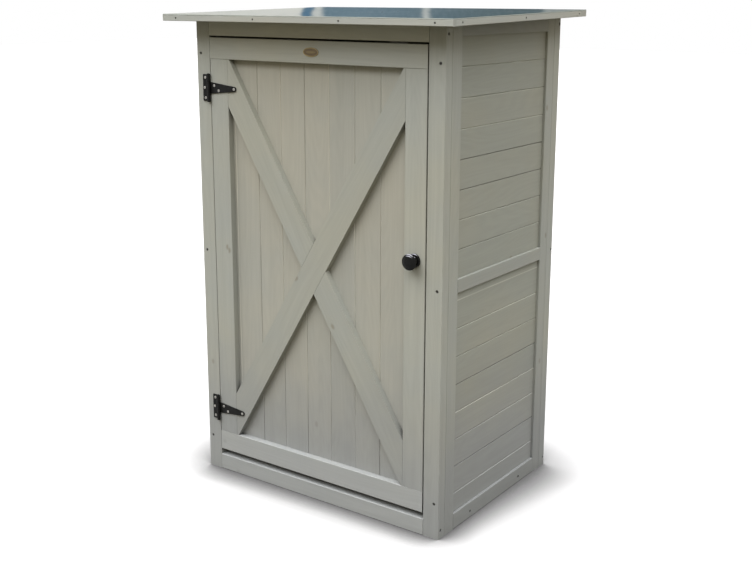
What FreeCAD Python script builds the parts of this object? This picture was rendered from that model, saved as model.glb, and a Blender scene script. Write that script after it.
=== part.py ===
import FreeCAD, Part
import math
import os

# Garden storage cabinet in painted softwood: rebated frames filled with tongue-and-groove boards, a framed
# and braced door on two tee hinges, and a board roof under sheet metal that falls a little towards the door.
# Millimetres. +X is to the right seen from the door, the door faces -Y, +Z is up.
# The origin is on the ground, under the centre of the roof.

# Body
body_width = 660.0
body_depth = 482.0
body_height = 1066.0
arris = 1.0

# Front frame: two stiles, a header over the door and a sill under it
front_thick = 24.0
front_stile = 39.0
header_height = 33.0
sill_height = 37.0

# Side and back frames, and the boards in their rebates
side_thick = 24.0
back_thick = 28.0
side_stile_front = 36.0
side_stile_back = 32.0
back_stile = 39.0
top_rail_height = 22.0
mid_rail_height = 29.5
mid_rail_top = 556.0
bottom_rail_height = 36.0
wall_recess = 5.5
rebate_width = 8.0
rebate_play = 1.0

# Tongue-and-groove boards of the walls
wall_board_thick = 9.0
wall_board_cover = 61.4
upper_first_joint = 59.7
lower_first_joint = 43.3
least_board = 30.0
board_gap = 0.4
board_bevel = 1.2
tongue_thick = 3.0
tongue_length = 5.0
tongue_play = 0.2

# Door
door_thick = 26.0
door_recess = 14.5
door_stile = 51.5
door_rail = 47.3
door_board_cover = 66.5
door_first_joint = 73.75
gap_top = 4.0
gap_bottom = 14.0
gap_hinge = 1.0
gap_latch = 2.6
brace_width = 57.0
brace_setback = 0.5
brace_overrun = 7.0
brace_gap = 0.4

# Tee hinges
hinge_from_bottom = 105.5
hinge_from_top = 111.4
hinge_onto_stile = 2.0
hinge_plate = 2.0
hinge_play = 0.3
barrel_r = 4.0
barrel_height = 62.0
pin_r = 1.6
pin_play = 0.08
pin_head_r = 2.6
pin_head_height = 1.2
knuckle_gap = 0.4
leaf_height = 60.0
leaf_reach = 19.5
leaf_hole_spacing = 22.6
leaf_hole_in = 8.0
leaf_hole_stagger = 2.4
strap_height = 25.0
strap_length = 80.0
strap_tip_r = 5.5
strap_straight = 8.0
strap_hole_1 = (15.4, 5.6)
strap_hole_2 = (28.6, -5.2)

# Knob, its rose and the screw that holds it from inside
knob_height = 598.0
knob_r = 17.0
knob_reach = 25.0
knob_rim = 2.4
knob_edge = 1.4
knob_dome = 2.6
knob_face_r = 15.2
knob_flare = 3.0
knob_throat_r = 12.0
knob_neck_r = 7.0
knob_foot_r = 9.0
rose_r = 14.5
rose_thick = 4.0
rose_round = 1.3
knob_screw_r = 2.0
knob_thread = 9.0
knob_screw_head_r = 4.2
knob_screw_head = 2.5

# Blank oval badge on the door's top rail
badge_width = 41.0
badge_height = 19.5
badge_thick = 1.5
badge_rim = 2.0
badge_sink = 0.5

# Magnetic catch behind the header, and its strike plate on the door
catch_in = 87.5
catch_width = 44.0
catch_depth = 16.0
catch_flange = 3.0
catch_up = 19.0
catch_block_up = 4.0
catch_down = 20.0
catch_play = 0.3
strike_width = 36.0
strike_height = 14.0
strike_thick = 1.5
strike_drop = 3.0
catch_screw_spacing = 30.0
catch_screw_up = 6.5

# Floor on three bearers
bearer_width = 24.0
bearer_height = 25.0
floor_thick = 12.0
floor_board = 71.0
floor_gap = 2.0

# Shelf on two cleats at the middle rails
cleat_width = 20.0
cleat_height = 22.0
cleat_setback = 16.0
shelf_thick = 12.0
shelf_board = 71.0
shelf_gap = 8.0
shelf_front = 40.0
shelf_play = 1.0

# Roof
roof_rise = 11.6
roof_over_side = 48.0
roof_over_front = 54.5
roof_over_back = 27.5
strip_height = 12.8
strip_front = 11.5
strip_side = 11.5
strip_back = 26.0
deck_board = 93.0
deck_gap = 0.6
sheet_thick = 0.8
hem_width = 9.5
hem_drop = 1.4
nail_inset = 40.0
nail_inset_side = 34.0
nails_across = 4

# Wood screws and nails
screw_r = 1.8
screw_head_r = 3.2
screw_head = 2.2
screw_sink = 1.0
screw_long = 45.0
screw_edge = 62.0
screw_short = 16.0
screw_cleat = 33.0
screw_deck = 34.0
deck_screw_side = 136.0
deck_screw_end = 160.0
nail_r = 1.1
nail_head_r = 2.0
nail_head = 1.0
nail_length = 30.0
nail_long = 42.0
pan_head = 1.5
pan_round = 0.9
pan_head_r = 3.1
cross_width = 0.9
cross_length = 3.6
cross_depth = 0.8
hole_play = 0.15
screw_foot_height = 79.0
screw_top_drop = 50.0
screw_stagger = 13.0
screw_edge_in = 9.0
back_screw_in = 5.0
bearer_screw_in = 131.0
bearer_screw_up = 14.0

# Planes that several pieces share
half_width = body_width / 2
roof_depth = roof_over_front + body_depth + roof_over_back
roof_front = -roof_depth / 2
roof_back = roof_depth / 2
front = roof_front + roof_over_front
back = front + body_depth
inside_front = front + front_thick
inside_back = back - back_thick
inside_half = half_width - side_thick
roof_half = half_width + roof_over_side
roof_slope = roof_rise / roof_depth
sill_top = sill_height
header_bottom = body_height - header_height
top_rail_bottom = body_height - top_rail_height
mid_rail_bottom = mid_rail_top - mid_rail_height
stile_inner = half_width - front_stile
door_left = gap_hinge - stile_inner
door_right = stile_inner - gap_latch
door_bottom = sill_top + gap_bottom
door_top = header_bottom - gap_top
door_back = front + door_thick
field_left = door_left + door_stile
field_right = door_right - door_stile
field_bottom = door_bottom + door_rail
field_top = door_top - door_rail
deck_thick = strip_height + hem_drop
mid_rail_middle = mid_rail_top - mid_rail_height / 2
screw_heights = (screw_foot_height, mid_rail_middle, top_rail_bottom - screw_top_drop)
side_middle = half_width - side_thick / 2

pieces = {}
fasteners = {}
holes = []


def vector(x, y, z):
    return FreeCAD.Vector(x, y, z)


def under_roof(y):
    """Height of the roof's underside at a depth y."""
    return body_height + roof_slope * (y - front)


def block(xs, ys, zs):
    """A plain block, from a pair of limits along each axis."""
    lows = [min(pair) for pair in (xs, ys, zs)]
    spans = [abs(pair[1] - pair[0]) for pair in (xs, ys, zs)]
    return Part.makeBox(*spans, vector(*lows))


def long_edges(shape, axis):
    """The straight edges that run along one axis, 0 for X, 1 for Y and 2 for Z."""
    found = []
    for edge in shape.Edges:
        run = edge.Vertexes[-1].Point - edge.Vertexes[0].Point
        others = [abs(run[k]) for k in range(3) if k != axis]
        if max(others) < abs(run[axis]) * 0.1:
            found.append(edge)
    return found


def timber(axis, xs, ys, zs):
    """A planed length with its four long edges eased."""
    blank = block(xs, ys, zs)
    return blank.makeChamfer(arris, long_edges(blank, axis))


def prism(points, run):
    """A flat outline, given by its corners in space, pushed along a vector."""
    return Part.Face(Part.makePolygon(points + points[:1])).extrude(run)


def fall_block(xs, ys, low, high):
    """A block of the roof: upright sides, with top and bottom that follow the fall."""
    x = min(xs)
    corners = [(ys[0], low), (ys[1], low), (ys[1], high), (ys[0], high)]
    outline = [vector(x, y, under_roof(y) + up) for y, up in corners]
    return prism(outline, vector(max(xs) - x, 0, 0))


def fall_strip(axis, xs, ys, low, high):
    """A strip of the roof with its four long edges eased."""
    blank = fall_block(xs, ys, low, high)
    return blank.makeChamfer(arris, long_edges(blank, axis))


def trim_to_roof(shape):
    """Cuts away what would stand above the roof's underside."""
    above = fall_block((-roof_half, roof_half), (roof_front, roof_back), 0.0, body_height)
    return shape.cut(above)


def head_and_shank(at, way, head_r, head, shank_r, length):
    """A fastener whose head starts at a point and whose shank runs on along a direction."""
    neck = at + way * head
    return Part.makeCylinder(head_r, head, at, way).fuse(
        Part.makeCylinder(shank_r, length - head, neck, way)
    )


def sunk(group, at, way, length, nail=False):
    """A screw or nail set a little below the surface, and the stepped hole it sits in."""
    head_r, head, shank_r = (screw_head_r, screw_head, screw_r)
    if nail:
        head_r, head, shank_r = (nail_head_r, nail_head, nail_r)
    start = vector(*at)
    way = vector(*way)
    seat = start + way * screw_sink
    made = head_and_shank(seat, way, head_r, head, shank_r, length - screw_sink)
    fasteners.setdefault(group, []).append(made)
    mouth = Part.makeCylinder(head_r + hole_play, screw_sink + head, start, way)
    bore = Part.makeCylinder(shank_r + hole_play, length, start, way)
    holes.append(mouth.fuse(bore))


def pan_screw(group, at, way, length):
    """A domed cross-head screw that holds a metal plate, whose head stands on the point."""
    face = vector(*at)
    way = vector(*way)
    top = face - way * pan_head
    head = Part.makeCylinder(pan_head_r, pan_head, top, way)
    rims = [edge for edge in head.Edges if edge.isClosed()]
    outer = [edge for edge in rims if (edge.CenterOfMass - top).Length < pan_head / 2]
    head = head.makeFillet(pan_round, outer)
    shank = Part.makeCylinder(screw_r, length, face, way)
    across = way.cross(vector(0, 0, 1))
    for side, up in ((cross_length, cross_width), (cross_width, cross_length)):
        reach = across * (side / 2) + vector(0, 0, up / 2)
        corners = [top - reach, top - reach + across * side, top + reach, top + reach - across * side]
        head = head.cut(prism(corners, way * cross_depth))
    fasteners.setdefault(group, []).append(head.fuse(shank))
    holes.append(Part.makeCylinder(screw_r + hole_play, length + hole_play, face, way))


def joints(low, high, first, cover):
    """The heights or widths at which boards meet, counted from the first joint."""
    found = []
    at = first
    while at < high - least_board:
        if at > low + least_board:
            found.append(at)
        at += cover
    return [low] + found + [high]


def boards(place, run, limits, thick):
    """Tongue-and-groove boards side by side; place turns (across, through) into a point in space."""
    made = []
    middle = thick / 2
    half = tongue_thick / 2
    slot = half + tongue_play
    for number, (low, high) in enumerate(zip(limits, limits[1:])):
        first = number == 0
        last = number == len(limits) - 2
        a = low if first else low + board_gap / 2
        b = high if last else high - board_gap / 2
        tip = high + tongue_length
        deep = low + tongue_length + board_gap
        near = [(a, board_bevel), (a + board_bevel, 0), (b - board_bevel, 0), (b, board_bevel)]
        far = [(b, thick - board_bevel), (b - board_bevel, thick)]
        far += [(a + board_bevel, thick), (a, thick - board_bevel)]
        tongue = [(b, middle - half), (tip, middle - half), (tip, middle + half), (b, middle + half)]
        groove = [(a, middle + slot), (deep, middle + slot), (deep, middle - slot), (a, middle - slot)]
        outline = near + ([] if last else tongue) + far + ([] if first else groove)
        made.append(prism([place(u, v) for u, v in outline], run))
    return made


# Front frame: full-height stiles with the header and the sill between them, level with their faces
def front_frame():
    ys = (front, inside_front)
    between = (-stile_inner, stile_inner)
    for name, side in (("left", -1), ("right", 1)):
        xs = (side * half_width, side * stile_inner)
        pieces["front_stile_" + name] = trim_to_roof(timber(2, xs, ys, (0, under_roof(inside_front))))
    header = timber(0, between, ys, (header_bottom, under_roof(inside_front)))
    pieces["front_header"] = trim_to_roof(header)
    pieces["front_sill"] = timber(0, between, ys, (0, sill_top))


# A wall frame lies in a plane; place_box turns (along the wall, through the wall, height) into a block.
def wall_frame(name, wall, thick, span, stiles):
    """Two stiles and three rails, rebated inside so that the boards lie in them from behind."""
    start, end = span
    (label_a, stile_a), (label_b, stile_b) = stiles.items()
    inner_a = start + stile_a
    inner_b = end - stile_b
    through = (0.0, thick)
    rebate = (wall_recess, thick)
    top = under_roof(back)
    along = wall["axis"]

    def piece(axis, us, zs):
        return timber(axis, *wall["limits"](us, through, zs))

    def cut_rebate(shape, us, zs):
        return shape.cut(block(*wall["limits"](us, rebate, zs)))

    stile_heights = (0, top)
    fields = ((bottom_rail_height, mid_rail_bottom), (mid_rail_top, top_rail_bottom))
    built = {
        "stile_" + label_a: piece(2, (start, inner_a), stile_heights),
        "stile_" + label_b: piece(2, (inner_b, end), stile_heights),
        "bottom_rail": piece(along, (inner_a, inner_b), (0, bottom_rail_height)),
        "mid_rail": piece(along, (inner_a, inner_b), (mid_rail_bottom, mid_rail_top)),
        "top_rail": piece(along, (inner_a, inner_b), (top_rail_bottom, top)),
    }
    wide = (inner_a - rebate_width, inner_b + rebate_width)
    for label, shape in built.items():
        for low, high in fields:
            shape = cut_rebate(shape, wide, (low - rebate_width, high + rebate_width))
        pieces[name + "_" + label] = trim_to_roof(shape)

    made = []
    us = (wide[0] + rebate_play, wide[1] - rebate_play)
    for (low, high), first in zip(fields, (lower_first_joint, upper_first_joint)):
        limits = joints(low - rebate_width + rebate_play, high + rebate_width - rebate_play, low + first,
                        wall_board_cover)
        made += boards(wall["point"](us[0]), wall["run"] * (us[1] - us[0]), limits, wall_board_thick)
    pieces[name + "_boards"] = Part.makeCompound(made)


# Side walls: the boards' faces lie back from the frame's outer face by the recess
def side_wall(name, side):
    outer = side * half_width

    def limits(us, vs, zs):
        return tuple(outer - side * v for v in vs), us, zs

    def point(start):
        return lambda z, v: vector(outer - side * (wall_recess + v), start, z)

    wall = {"axis": 1, "limits": limits, "point": point, "run": vector(0, 1, 0)}
    stiles = {"front": side_stile_front, "back": side_stile_back}
    wall_frame("side_" + name, wall, side_thick, (inside_front, inside_back), stiles)


# Back wall: it spans the full width behind the side walls
def back_wall():
    def limits(us, vs, zs):
        return us, tuple(back - v for v in vs), zs

    def point(start):
        return lambda z, v: vector(start, back - wall_recess - v, z)

    wall = {"axis": 0, "limits": limits, "point": point, "run": vector(1, 0, 0)}
    stiles = {"left": back_stile, "right": back_stile}
    wall_frame("back", wall, back_thick, (-half_width, half_width), stiles)


def laid_boards(xs, ys, zs, width, gap):
    """Loose boards side by side from front to back, the last one ripped to fit."""
    made = []
    at = ys[0]
    while at < ys[1] - least_board:
        end = min(at + width, ys[1])
        if ys[1] - end - gap < least_board:
            end = ys[1]
        made.append(timber(0, xs, (at, end), zs))
        at = end + gap
    return Part.makeCompound(made)


# Floor: three bearers on the ground carry boards that lie level with the sill
def floor():
    ys = (inside_front, inside_back)
    zs = (0, bearer_height)
    pieces["floor_bearer_left"] = timber(1, (-inside_half, bearer_width - inside_half), ys, zs)
    pieces["floor_bearer_middle"] = timber(1, (-bearer_width / 2, bearer_width / 2), ys, zs)
    pieces["floor_bearer_right"] = timber(1, (inside_half - bearer_width, inside_half), ys, zs)
    heights = (bearer_height, bearer_height + floor_thick)
    pieces["floor_boards"] = laid_boards((-inside_half, inside_half), ys, heights, floor_board, floor_gap)


# Shelf: open boards across two cleats that are screwed to the middle rails
def shelf():
    zs = (mid_rail_top - cleat_height, mid_rail_top)
    ys = (inside_front + cleat_setback, inside_back - cleat_setback)
    for name, side in (("left", -1), ("right", 1)):
        xs = (side * (inside_half - cleat_width), side * inside_half)
        pieces["shelf_cleat_" + name] = timber(1, xs, ys, zs)
        for y in (ys[0] + shelf_front, ys[1] - shelf_front):
            start = (side * (inside_half - cleat_width), y, mid_rail_middle)
            sunk("frame_screws", start, (side, 0, 0), screw_cleat)
    reach = inside_half - shelf_play
    depth = (inside_front + shelf_front, inside_back - shelf_play)
    heights = (mid_rail_top, mid_rail_top + shelf_thick)
    pieces["shelf_boards"] = laid_boards((-reach, reach), depth, heights, shelf_board, shelf_gap)


# Roof: a board deck with strips nailed round its edges, all under one sheet with hemmed edges
def roof():
    side_ys = (roof_front + strip_front, roof_back - strip_back)
    full = (-roof_half, roof_half)
    pieces["roof_strip_front"] = fall_strip(0, full, (roof_front, side_ys[0]), 0, strip_height)
    pieces["roof_strip_back"] = fall_strip(0, full, (side_ys[1], roof_back), 0, strip_height)
    for name, side in (("left", -1), ("right", 1)):
        xs = (side * (roof_half - strip_side), side * roof_half)
        pieces["roof_strip_" + name] = fall_strip(1, xs, side_ys, 0, strip_height)
        for y in (roof_front + nail_inset_side, 0.0, roof_back - nail_inset_side):
            at = (side * roof_half, y, under_roof(y) + strip_height / 2)
            sunk("roof_nails", at, (-side, 0, 0), nail_length, nail=True)
    spread = roof_half - nail_inset
    step = 2 * spread / (nails_across - 1)
    for x in [step * number - spread for number in range(nails_across)]:
        for y, way in ((roof_front, 1), (roof_back, -1)):
            at = (x, y, under_roof(y) + strip_height / 2)
            sunk("roof_nails", at, (0, way, 0), nail_long, nail=True)
    pieces["roof_deck_boards"] = roof_deck(side_ys)
    pieces["roof_sheet"] = roof_sheet(full)
    seats = [(half_width - deck_screw_side, front + front_thick / 2),
             (half_width - deck_screw_side, back - back_screw_in),
             (side_middle, front + deck_screw_end), (side_middle, back - deck_screw_end)]
    for side in (-1, 1):
        for x, y in seats:
            sunk("frame_screws", (side * x, y, under_roof(y) + deck_thick), (0, 0, -1), screw_deck)


def roof_deck(ys):
    reach = roof_half - strip_side
    count = max(1, round(2 * reach / deck_board))
    width = (2 * reach - deck_gap * (count - 1)) / count
    made = []
    for number in range(count):
        low = number * (width + deck_gap) - reach
        made.append(fall_block((low, low + width), ys, 0, deck_thick))
    return Part.makeCompound(made)


def roof_sheet(full):
    low = deck_thick
    sheet = fall_block(full, (roof_front, roof_back), low, low + sheet_thick)
    rim = fall_block(full, (roof_front, roof_back), strip_height, low)
    inner = (hem_width - roof_half, roof_half - hem_width)
    opening = fall_block(inner, (roof_front + hem_width, roof_back - hem_width), 0, low)
    return sheet.fuse(rim.cut(opening)).removeSplitter()


# Screws whose heads show on the corners of the body
def body_screws():
    edge_heights = (sill_top / 2, (header_bottom + body_height) / 2)
    rail_heights = (bottom_rail_height / 2, mid_rail_middle, (top_rail_bottom + under_roof(back)) / 2)
    for side in (-1, 1):
        for z in screw_heights:
            sunk("frame_screws", (side * side_middle, front, z), (0, 1, 0), screw_long)
            sunk("frame_screws", (side * side_middle, back, z + screw_stagger), (0, -1, 0), screw_long)
        for z in edge_heights:
            sunk("frame_screws", (side * half_width, front + screw_edge_in, z), (-side, 0, 0), screw_edge)
        for z in rail_heights:
            sunk("frame_screws", (side * half_width, back - back_screw_in, z), (-side, 0, 0), screw_edge)
        for y in (front + bearer_screw_in, back - bearer_screw_in):
            sunk("frame_screws", (side * half_width, y, bearer_screw_up), (-side, 0, 0), screw_long)


# Door: stiles between full-width rails, boards in the rebate behind, and braces from corner to corner
def door_frame():
    ys = (front, door_back)
    full = (door_left, door_right)
    between = (field_bottom, field_top)
    built = {
        "door_bottom_rail": timber(0, full, ys, (door_bottom, field_bottom)),
        "door_top_rail": timber(0, full, ys, (field_top, door_top)),
        "door_stile_left": timber(2, (door_left, field_left), ys, between),
        "door_stile_right": timber(2, (field_right, door_right), ys, between),
    }
    room = block((field_left - rebate_width, field_right + rebate_width), (front + door_recess, door_back),
                 (field_bottom - rebate_width, field_top + rebate_width))
    for name, shape in built.items():
        pieces[name] = shape.cut(room)

    low = field_bottom - rebate_width + rebate_play
    height = field_top + rebate_width - rebate_play - low
    limits = joints(field_left - rebate_width + rebate_play, field_right + rebate_width - rebate_play,
                    field_left + door_first_joint, door_board_cover)
    made = boards(lambda x, v: vector(x, front + door_recess + v, low), vector(0, 0, height), limits,
                  door_thick - door_recess)
    pieces["door_boards"] = Part.makeCompound(made)


def door_braces():
    """One brace runs through from the bottom hinge to the top corner; the other is in two halves."""
    wide = field_right - field_left
    reach = field_top - field_bottom + 2 * brace_overrun
    root = math.sqrt(reach ** 2 + wide ** 2 - brace_width ** 2)
    steep = (reach * wide - brace_width * root) / (wide ** 2 - brace_width ** 2)
    middle_z = (field_bottom + field_top) / 2
    ys = (front + brace_setback, front + door_recess)
    field = block((field_left, field_right), ys, (field_bottom, field_top))

    def strip(turn, width):
        half = width * math.sqrt(1 + steep ** 2) / 2
        climb = turn * steep * wide / 2
        outline = [(field_left, -climb - half), (field_right, climb - half),
                   (field_right, climb + half), (field_left, half - climb)]
        bar = prism([vector(x, ys[0], middle_z + z) for x, z in outline], vector(0, ys[1] - ys[0], 0))
        return bar.common(field)

    through = strip(1, brace_width)
    halves = strip(-1, brace_width).cut(strip(1, brace_width + 2 * brace_gap))
    lower, upper = sorted(halves.Solids, key=lambda solid: solid.CenterOfMass.z)
    pieces["door_brace_through"] = through.Solids[0]
    pieces["door_brace_upper"] = upper
    pieces["door_brace_lower"] = lower


# Tee hinges: the leaf is screwed to the front stile and the strap to the door, on one upright pin
def hinge(name, z):
    x = hinge_onto_stile_x()
    y = front - barrel_r - hinge_play
    plate = (front - hinge_plate, front)
    knuckle = strap_height / 2 + knuckle_gap
    bore = Part.makeCylinder(pin_r + pin_play, barrel_height, vector(x, y, z - barrel_height / 2))

    barrel = Part.makeCylinder(barrel_r, barrel_height, vector(x, y, z - barrel_height / 2))
    leaf_far = x - leaf_reach
    leaf = block((leaf_far, x), plate, (z - leaf_height / 2, z + leaf_height / 2)).fuse(barrel)
    beside = (x - barrel_r - hinge_play, x + barrel_r)
    room = block(beside, (y - barrel_r, front), (z - knuckle, z + knuckle))
    pieces["hinge_" + name + "_leaf"] = leaf.cut(room).cut(bore)

    strap_knuckle = Part.makeCylinder(barrel_r, strap_height, vector(x, y, z - strap_height / 2))
    strap = strap_outline(x, z).extrude(vector(0, hinge_plate, 0))
    pieces["hinge_" + name + "_strap"] = strap.fuse(strap_knuckle).cut(bore)

    pin = Part.makeCylinder(pin_r, barrel_height, vector(x, y, z - barrel_height / 2))
    for end, way in ((z + barrel_height / 2, 1), (z - barrel_height / 2, -1)):
        pin = pin.fuse(Part.makeCylinder(pin_head_r, pin_head_height, vector(x, y, end), vector(0, 0, way)))
    fasteners.setdefault("hinge_pins", []).append(pin)

    leaf_x = leaf_far + leaf_hole_in
    for dx, dz in ((0, leaf_hole_spacing), (-leaf_hole_stagger, 0), (0, -leaf_hole_spacing)):
        pan_screw("hinge_leaf_screws", (leaf_x + dx, plate[0], z + dz), (0, 1, 0), screw_short)
    for dx, dz in (strap_hole_1, strap_hole_2, (strap_length - strap_tip_r, 0)):
        pan_screw("hinge_strap_screws", (x + dx, plate[0], z + dz), (0, 1, 0), screw_short)


def hinge_onto_stile_x():
    """The hinge axis lies a little way onto the stile from its inner edge."""
    return -stile_inner - hinge_onto_stile


def strap_outline(x, z):
    """The strap's face: straight at the knuckle, tapering to a round tip."""
    y = front - hinge_plate
    end = x + strap_length - strap_tip_r
    half = strap_height / 2
    straight = x + strap_straight
    lean = math.atan2(half - strap_tip_r, end - straight)
    drop = strap_tip_r * math.cos(lean)
    ahead = strap_tip_r * math.sin(lean)
    upper = vector(end + ahead, y, z + drop)
    lower = vector(end + ahead, y, z - drop)
    corners = [lower, vector(straight, y, z - half), vector(x, y, z - half), vector(x, y, z + half),
               vector(straight, y, z + half), upper]
    edges = [Part.LineSegment(a, b).toShape() for a, b in zip(corners, corners[1:])]
    edges.append(Part.Arc(upper, vector(end + strap_tip_r, y, z), lower).toShape())
    return Part.Face(Part.Wire(edges))


# Knob: a turned head on a flared neck, on a round rose, held by one screw through the door stile
def knob():
    x = (field_right + door_right) / 2
    at = vector(x, front, knob_height)
    outward = vector(0, -1, 0)

    def spot(radius, out):
        return vector(x + radius, front - out, knob_height)

    face = knob_reach - knob_dome
    under = face - knob_rim - knob_edge
    throat = under - knob_flare
    sphere = (knob_face_r ** 2 + knob_dome ** 2) / (2 * knob_dome)
    bulge = sphere - math.sqrt(sphere ** 2 - (knob_face_r / 2) ** 2)
    corners = [spot(0, knob_reach), spot(0, rose_thick), spot(knob_foot_r, rose_thick)]
    rising = [spot(knob_throat_r, throat), spot(knob_r, under), spot(knob_r, under + knob_rim),
              spot(knob_face_r, face)]
    neck = spot(knob_neck_r, (rose_thick + throat) / 2)
    edges = [Part.LineSegment(a, b).toShape() for a, b in zip(corners, corners[1:])]
    edges.append(Part.Arc(corners[-1], neck, rising[0]).toShape())
    edges += [Part.LineSegment(a, b).toShape() for a, b in zip(rising, rising[1:])]
    edges.append(Part.Arc(rising[-1], spot(knob_face_r / 2, knob_reach - bulge), corners[0]).toShape())
    turned = Part.Face(Part.Wire(edges)).revolve(at, outward, 360)
    thread = Part.makeCylinder(knob_screw_r, knob_thread, at + outward * rose_thick, outward)
    pieces["knob"] = turned.cut(thread)

    rose = Part.makeCylinder(rose_r, rose_thick, at, outward)
    rims = [edge for edge in rose.Edges if edge.isClosed()]
    outer = [edge for edge in rims if edge.CenterOfMass.y < front - rose_thick / 2]
    rose = rose.makeFillet(rose_round, outer)
    rear = at - outward * door_thick
    bore = Part.makeCylinder(knob_screw_r + hole_play, rose_thick + door_thick, rear, outward)
    pieces["knob_rose"] = rose.cut(bore)

    inside = rear - outward * knob_screw_head
    length = knob_screw_head + door_thick + rose_thick + knob_thread
    screw = head_and_shank(inside, outward, knob_screw_head_r, knob_screw_head, knob_screw_r, length)
    fasteners.setdefault("knob_screw", []).append(screw)
    holes.append(bore)


# Badge: a plain pressed oval with a raised rim, on the middle of the door's top rail
def badge():
    x = (door_left + door_right) / 2
    z = (field_top + door_top) / 2

    def oval(shrink, near, far):
        ring = Part.Ellipse(vector(x, front - near, z), badge_width / 2 - shrink, badge_height / 2 - shrink)
        wire = Part.Wire(ring.toShape())
        wire.rotate(vector(x, front - near, z), vector(1, 0, 0), 90)
        return Part.Face(wire).extrude(vector(0, near - far, 0))

    plate = oval(0, 0, badge_thick)
    pieces["door_badge"] = plate.cut(oval(badge_rim, badge_thick - badge_sink, badge_thick))


# Magnetic catch: the block hangs behind the door's top edge and also stops the door when it shuts
def catch():
    seat = inside_front
    face = door_back + strike_thick + catch_play
    rear = seat + catch_depth
    x = door_right - catch_in
    flange = seat + catch_flange
    outline = [(seat, 0), (seat, catch_up), (flange, catch_up), (flange, catch_block_up),
               (rear, catch_block_up), (rear, -catch_down), (face, -catch_down), (face, 0)]
    corners = [vector(x - catch_width / 2, y, header_bottom + up) for y, up in outline]
    pieces["catch_body"] = prism(corners, vector(catch_width, 0, 0))
    for dx in (-catch_screw_spacing / 2, catch_screw_spacing / 2):
        at = (x + dx, flange, header_bottom + catch_up - catch_screw_up)
        pan_screw("catch_screws", at, (0, -1, 0), screw_short + catch_flange)

    strike_top = door_top - strike_drop
    zs = (strike_top - strike_height, strike_top)
    xs = (x - strike_width / 2, x + strike_width / 2)
    pieces["catch_strike"] = block(xs, (door_back, door_back + strike_thick), zs)


# A flat-headed screw holds the strike, with its head level with the plate
def strike_screw():
    z = door_top - strike_drop - strike_height / 2
    face = vector(door_right - catch_in, door_back + strike_thick, z)
    way = vector(0, -1, 0)
    screw = head_and_shank(face, way, pan_head_r, strike_thick, screw_r, screw_short)
    fasteners.setdefault("strike_screw", []).append(screw)
    holes.append(Part.makeCylinder(pan_head_r + hole_play, strike_thick, face, way).fuse(
        Part.makeCylinder(screw_r + hole_play, screw_short, face, way)))


def drill():
    """Cuts each fastener's hole in every piece that it passes through."""
    for name, shape in pieces.items():
        reach = shape.BoundBox
        near = [hole for hole in holes if reach.intersect(hole.BoundBox)]
        for hole in near:
            if shape.common(hole).Volume > 0:
                shape = shape.cut(hole)
        pieces[name] = shape


front_frame()
side_wall("left", -1)
side_wall("right", 1)
back_wall()
floor()
shelf()
roof()
body_screws()
door_frame()
door_braces()
hinge("bottom", door_bottom + hinge_from_bottom)
hinge("top", door_top - hinge_from_top)
knob()
badge()
catch()
strike_screw()
drill()

for group, made in fasteners.items():
    pieces[group] = Part.makeCompound(made)

os.makedirs("parts", exist_ok=True)
for name, shape in pieces.items():
    shape.exportStep("parts/" + name + ".step")
print(len(pieces), "nodes")
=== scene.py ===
import math

import bmesh
import bpy
from mathutils import Matrix, Vector


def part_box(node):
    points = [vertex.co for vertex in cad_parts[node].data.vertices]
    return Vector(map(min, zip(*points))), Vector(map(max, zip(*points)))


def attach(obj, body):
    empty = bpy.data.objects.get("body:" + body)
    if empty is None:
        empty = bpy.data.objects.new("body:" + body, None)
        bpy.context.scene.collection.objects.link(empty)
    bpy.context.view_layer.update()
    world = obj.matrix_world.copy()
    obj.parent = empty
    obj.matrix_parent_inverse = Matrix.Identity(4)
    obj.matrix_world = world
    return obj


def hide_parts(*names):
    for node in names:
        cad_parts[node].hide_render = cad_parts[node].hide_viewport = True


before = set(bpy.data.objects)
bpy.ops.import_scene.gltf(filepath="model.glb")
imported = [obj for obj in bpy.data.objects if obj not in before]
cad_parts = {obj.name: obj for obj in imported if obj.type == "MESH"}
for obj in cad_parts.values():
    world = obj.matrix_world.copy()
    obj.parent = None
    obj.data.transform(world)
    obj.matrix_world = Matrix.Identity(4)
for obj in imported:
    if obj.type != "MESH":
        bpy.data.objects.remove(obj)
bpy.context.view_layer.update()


# The view: the photographer stands to the right of the door, a little above the roof, and looks slightly
# down. Place, turn and lens come from the straight edges in the photograph.
camera_place = (1.4475, -2.0164, 1.1188)
camera_turn = 35.598
camera_tilt = -12.896
camera_roll = -0.159
focal_length_px = 1090.5
photo_width_px = 752
centre_above_middle_px = 36.5

camera_data = bpy.data.cameras.new("view")
camera_data.sensor_fit = "HORIZONTAL"
camera_data.lens = camera_data.sensor_width * focal_length_px / photo_width_px
camera_data.shift_y = -centre_above_middle_px / photo_width_px
camera = bpy.data.objects.new("view", camera_data)
bpy.context.scene.collection.objects.link(camera)
camera.matrix_world = (
    Matrix.Translation(camera_place)
    @ Matrix.Rotation(math.radians(camera_turn), 4, "Z")
    @ Matrix.Rotation(math.radians(camera_tilt), 4, "X")
    @ Matrix.Rotation(math.radians(camera_roll), 4, "Y")
    @ Matrix.Rotation(math.radians(90), 4, "X")
)
bpy.context.scene.camera = camera


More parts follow.
